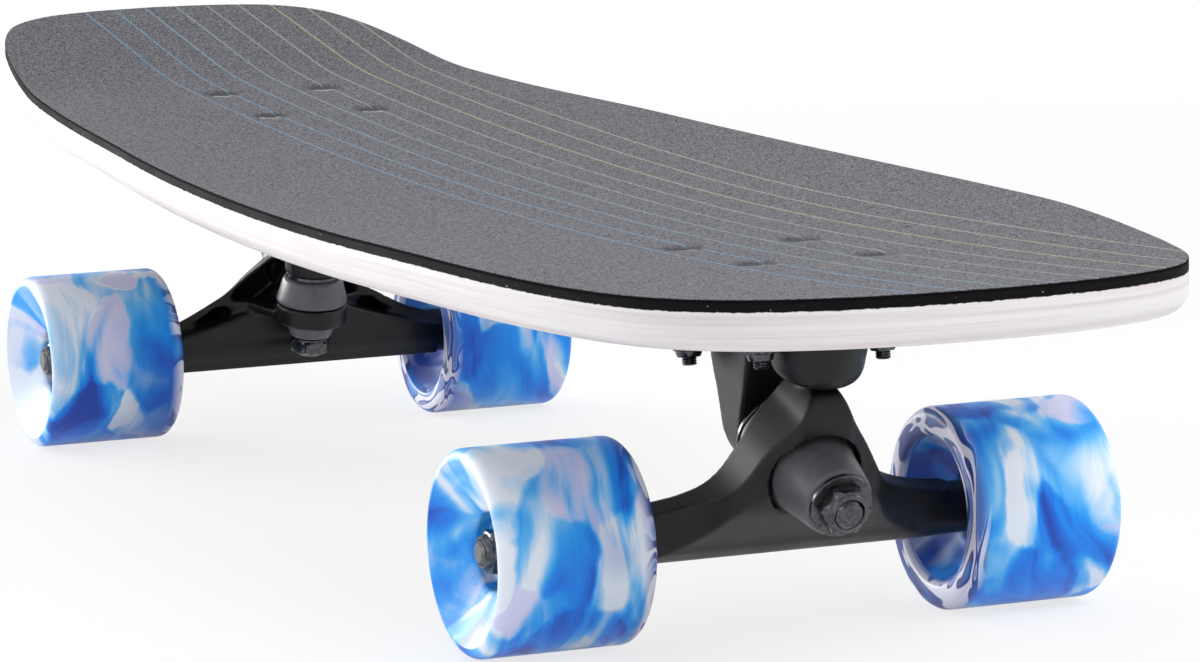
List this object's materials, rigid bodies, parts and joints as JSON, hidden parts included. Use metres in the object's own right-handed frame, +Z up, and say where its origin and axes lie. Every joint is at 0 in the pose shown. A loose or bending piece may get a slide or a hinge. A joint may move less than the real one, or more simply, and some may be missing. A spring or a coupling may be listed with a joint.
{
  "type": "surf skateboard",
  "caption": "Kicktail surf skateboard: gripped wooden deck on sprung steering trucks, with soft marbled wheels.",
  "frame": {"origin": "centre of the board's footprint, on the ground under the wheels", "axes": "+X towards the nose, +Y to the rider's left when facing the nose, +Z up"},
  "size_m": [0.758, 0.2332, 0.1516],
  "materials": {
    "deck_wood": "white lacquer",
    "grip_tape": "gritted",
    "wheel_urethane": "marbled gloss",
    "cast_metal": "black satin",
    "bushing_urethane": "satin",
    "riser_plastic": "matte",
    "cup_plastic": "matte",
    "dark_steel": "black zinc",
    "bearing_steel": "dark shields",
    "axle_steel": "satin"
  },
  "bodies": {
    "board": {"deck": "deck_wood", "griptape": "grip_tape", "front_riser": "riser_plastic", "front_baseplate": "cast_metal", "front_pivot_cup": "cup_plastic", "front_kingpin": "dark_steel", "front_kingpin_nut": "dark_steel", "front_bushing_board": "bushing_urethane", "front_bushing_road": "bushing_urethane", "front_washer_board": "dark_steel", "front_washer_road": "dark_steel", "front_deck_bolt_1": "dark_steel", "front_deck_nut_1": "dark_steel", "front_deck_bolt_2": "dark_steel", "front_deck_nut_2": "dark_steel", "front_deck_bolt_3": "dark_steel", "front_deck_nut_3": "dark_steel", "front_deck_bolt_4": "dark_steel", "front_deck_nut_4": "dark_steel", "rear_riser": "riser_plastic", "rear_baseplate": "cast_metal", "rear_pivot_cup": "cup_plastic", "rear_kingpin": "dark_steel", "rear_kingpin_nut": "dark_steel", "rear_bushing_board": "bushing_urethane", "rear_bushing_road": "bushing_urethane", "rear_washer_board": "dark_steel", "rear_washer_road": "dark_steel", "rear_deck_bolt_1": "dark_steel", "rear_deck_nut_1": "dark_steel", "rear_deck_bolt_2": "dark_steel", "rear_deck_nut_2": "dark_steel", "rear_deck_bolt_3": "dark_steel", "rear_deck_nut_3": "dark_steel", "rear_deck_bolt_4": "dark_steel", "rear_deck_nut_4": "dark_steel"},
    "front_truck": {"front_hanger": "cast_metal", "front_axle": "axle_steel", "front_left_axle_nut": "dark_steel", "front_left_bearing_sleeve": "axle_steel", "front_right_axle_nut": "dark_steel", "front_right_bearing_sleeve": "axle_steel"},
    "rear_truck": {"rear_hanger": "cast_metal", "rear_axle": "axle_steel", "rear_left_axle_nut": "dark_steel", "rear_left_bearing_sleeve": "axle_steel", "rear_right_axle_nut": "dark_steel", "rear_right_bearing_sleeve": "axle_steel"},
    "front_left_wheel": {"front_left_tyre": "wheel_urethane", "front_left_bearing_inner": "bearing_steel", "front_left_bearing_outer": "bearing_steel"},
    "front_right_wheel": {"front_right_tyre": "wheel_urethane", "front_right_bearing_inner": "bearing_steel", "front_right_bearing_outer": "bearing_steel"},
    "rear_left_wheel": {"rear_left_tyre": "wheel_urethane", "rear_left_bearing_inner": "bearing_steel", "rear_left_bearing_outer": "bearing_steel"},
    "rear_right_wheel": {"rear_right_tyre": "wheel_urethane", "rear_right_bearing_inner": "bearing_steel", "rear_right_bearing_outer": "bearing_steel"}
  },
  "joints": [
    {"name": "front_steer", "type": "hinge", "parent": "board", "child": "front_truck", "pos_m": [0.2451, 0, 0.0545], "axis": [0.309, 0, 0.9511], "range_deg": [-18, 18], "stiffness_Nm_per_rad": 40, "deforming": ["front_bushing_board", "front_bushing_road"]},
    {"name": "rear_steer", "type": "hinge", "parent": "board", "child": "rear_truck", "pos_m": [-0.1979, 0, 0.0473], "axis": [-0.8307, 0, 0.5568], "range_deg": [-12, 12], "stiffness_Nm_per_rad": 40, "deforming": ["rear_bushing_board", "rear_bushing_road"]},
    {"name": "front_left_roll", "type": "hinge", "parent": "front_truck", "child": "front_left_wheel", "pos_m": [0.2248, 0.08, 0.0325], "axis": [0, 1, 0], "continuous": true},
    {"name": "front_right_roll", "type": "hinge", "parent": "front_truck", "child": "front_right_wheel", "pos_m": [0.2248, -0.08, 0.0325], "axis": [0, 1, 0], "continuous": true},
    {"name": "rear_left_roll", "type": "hinge", "parent": "rear_truck", "child": "rear_left_wheel", "pos_m": [-0.2223, 0.08, 0.0325], "axis": [0, 1, 0], "continuous": true},
    {"name": "rear_right_roll", "type": "hinge", "parent": "rear_truck", "child": "rear_right_wheel", "pos_m": [-0.2223, -0.08, 0.0325], "axis": [0, 1, 0], "continuous": true}
  ]
}
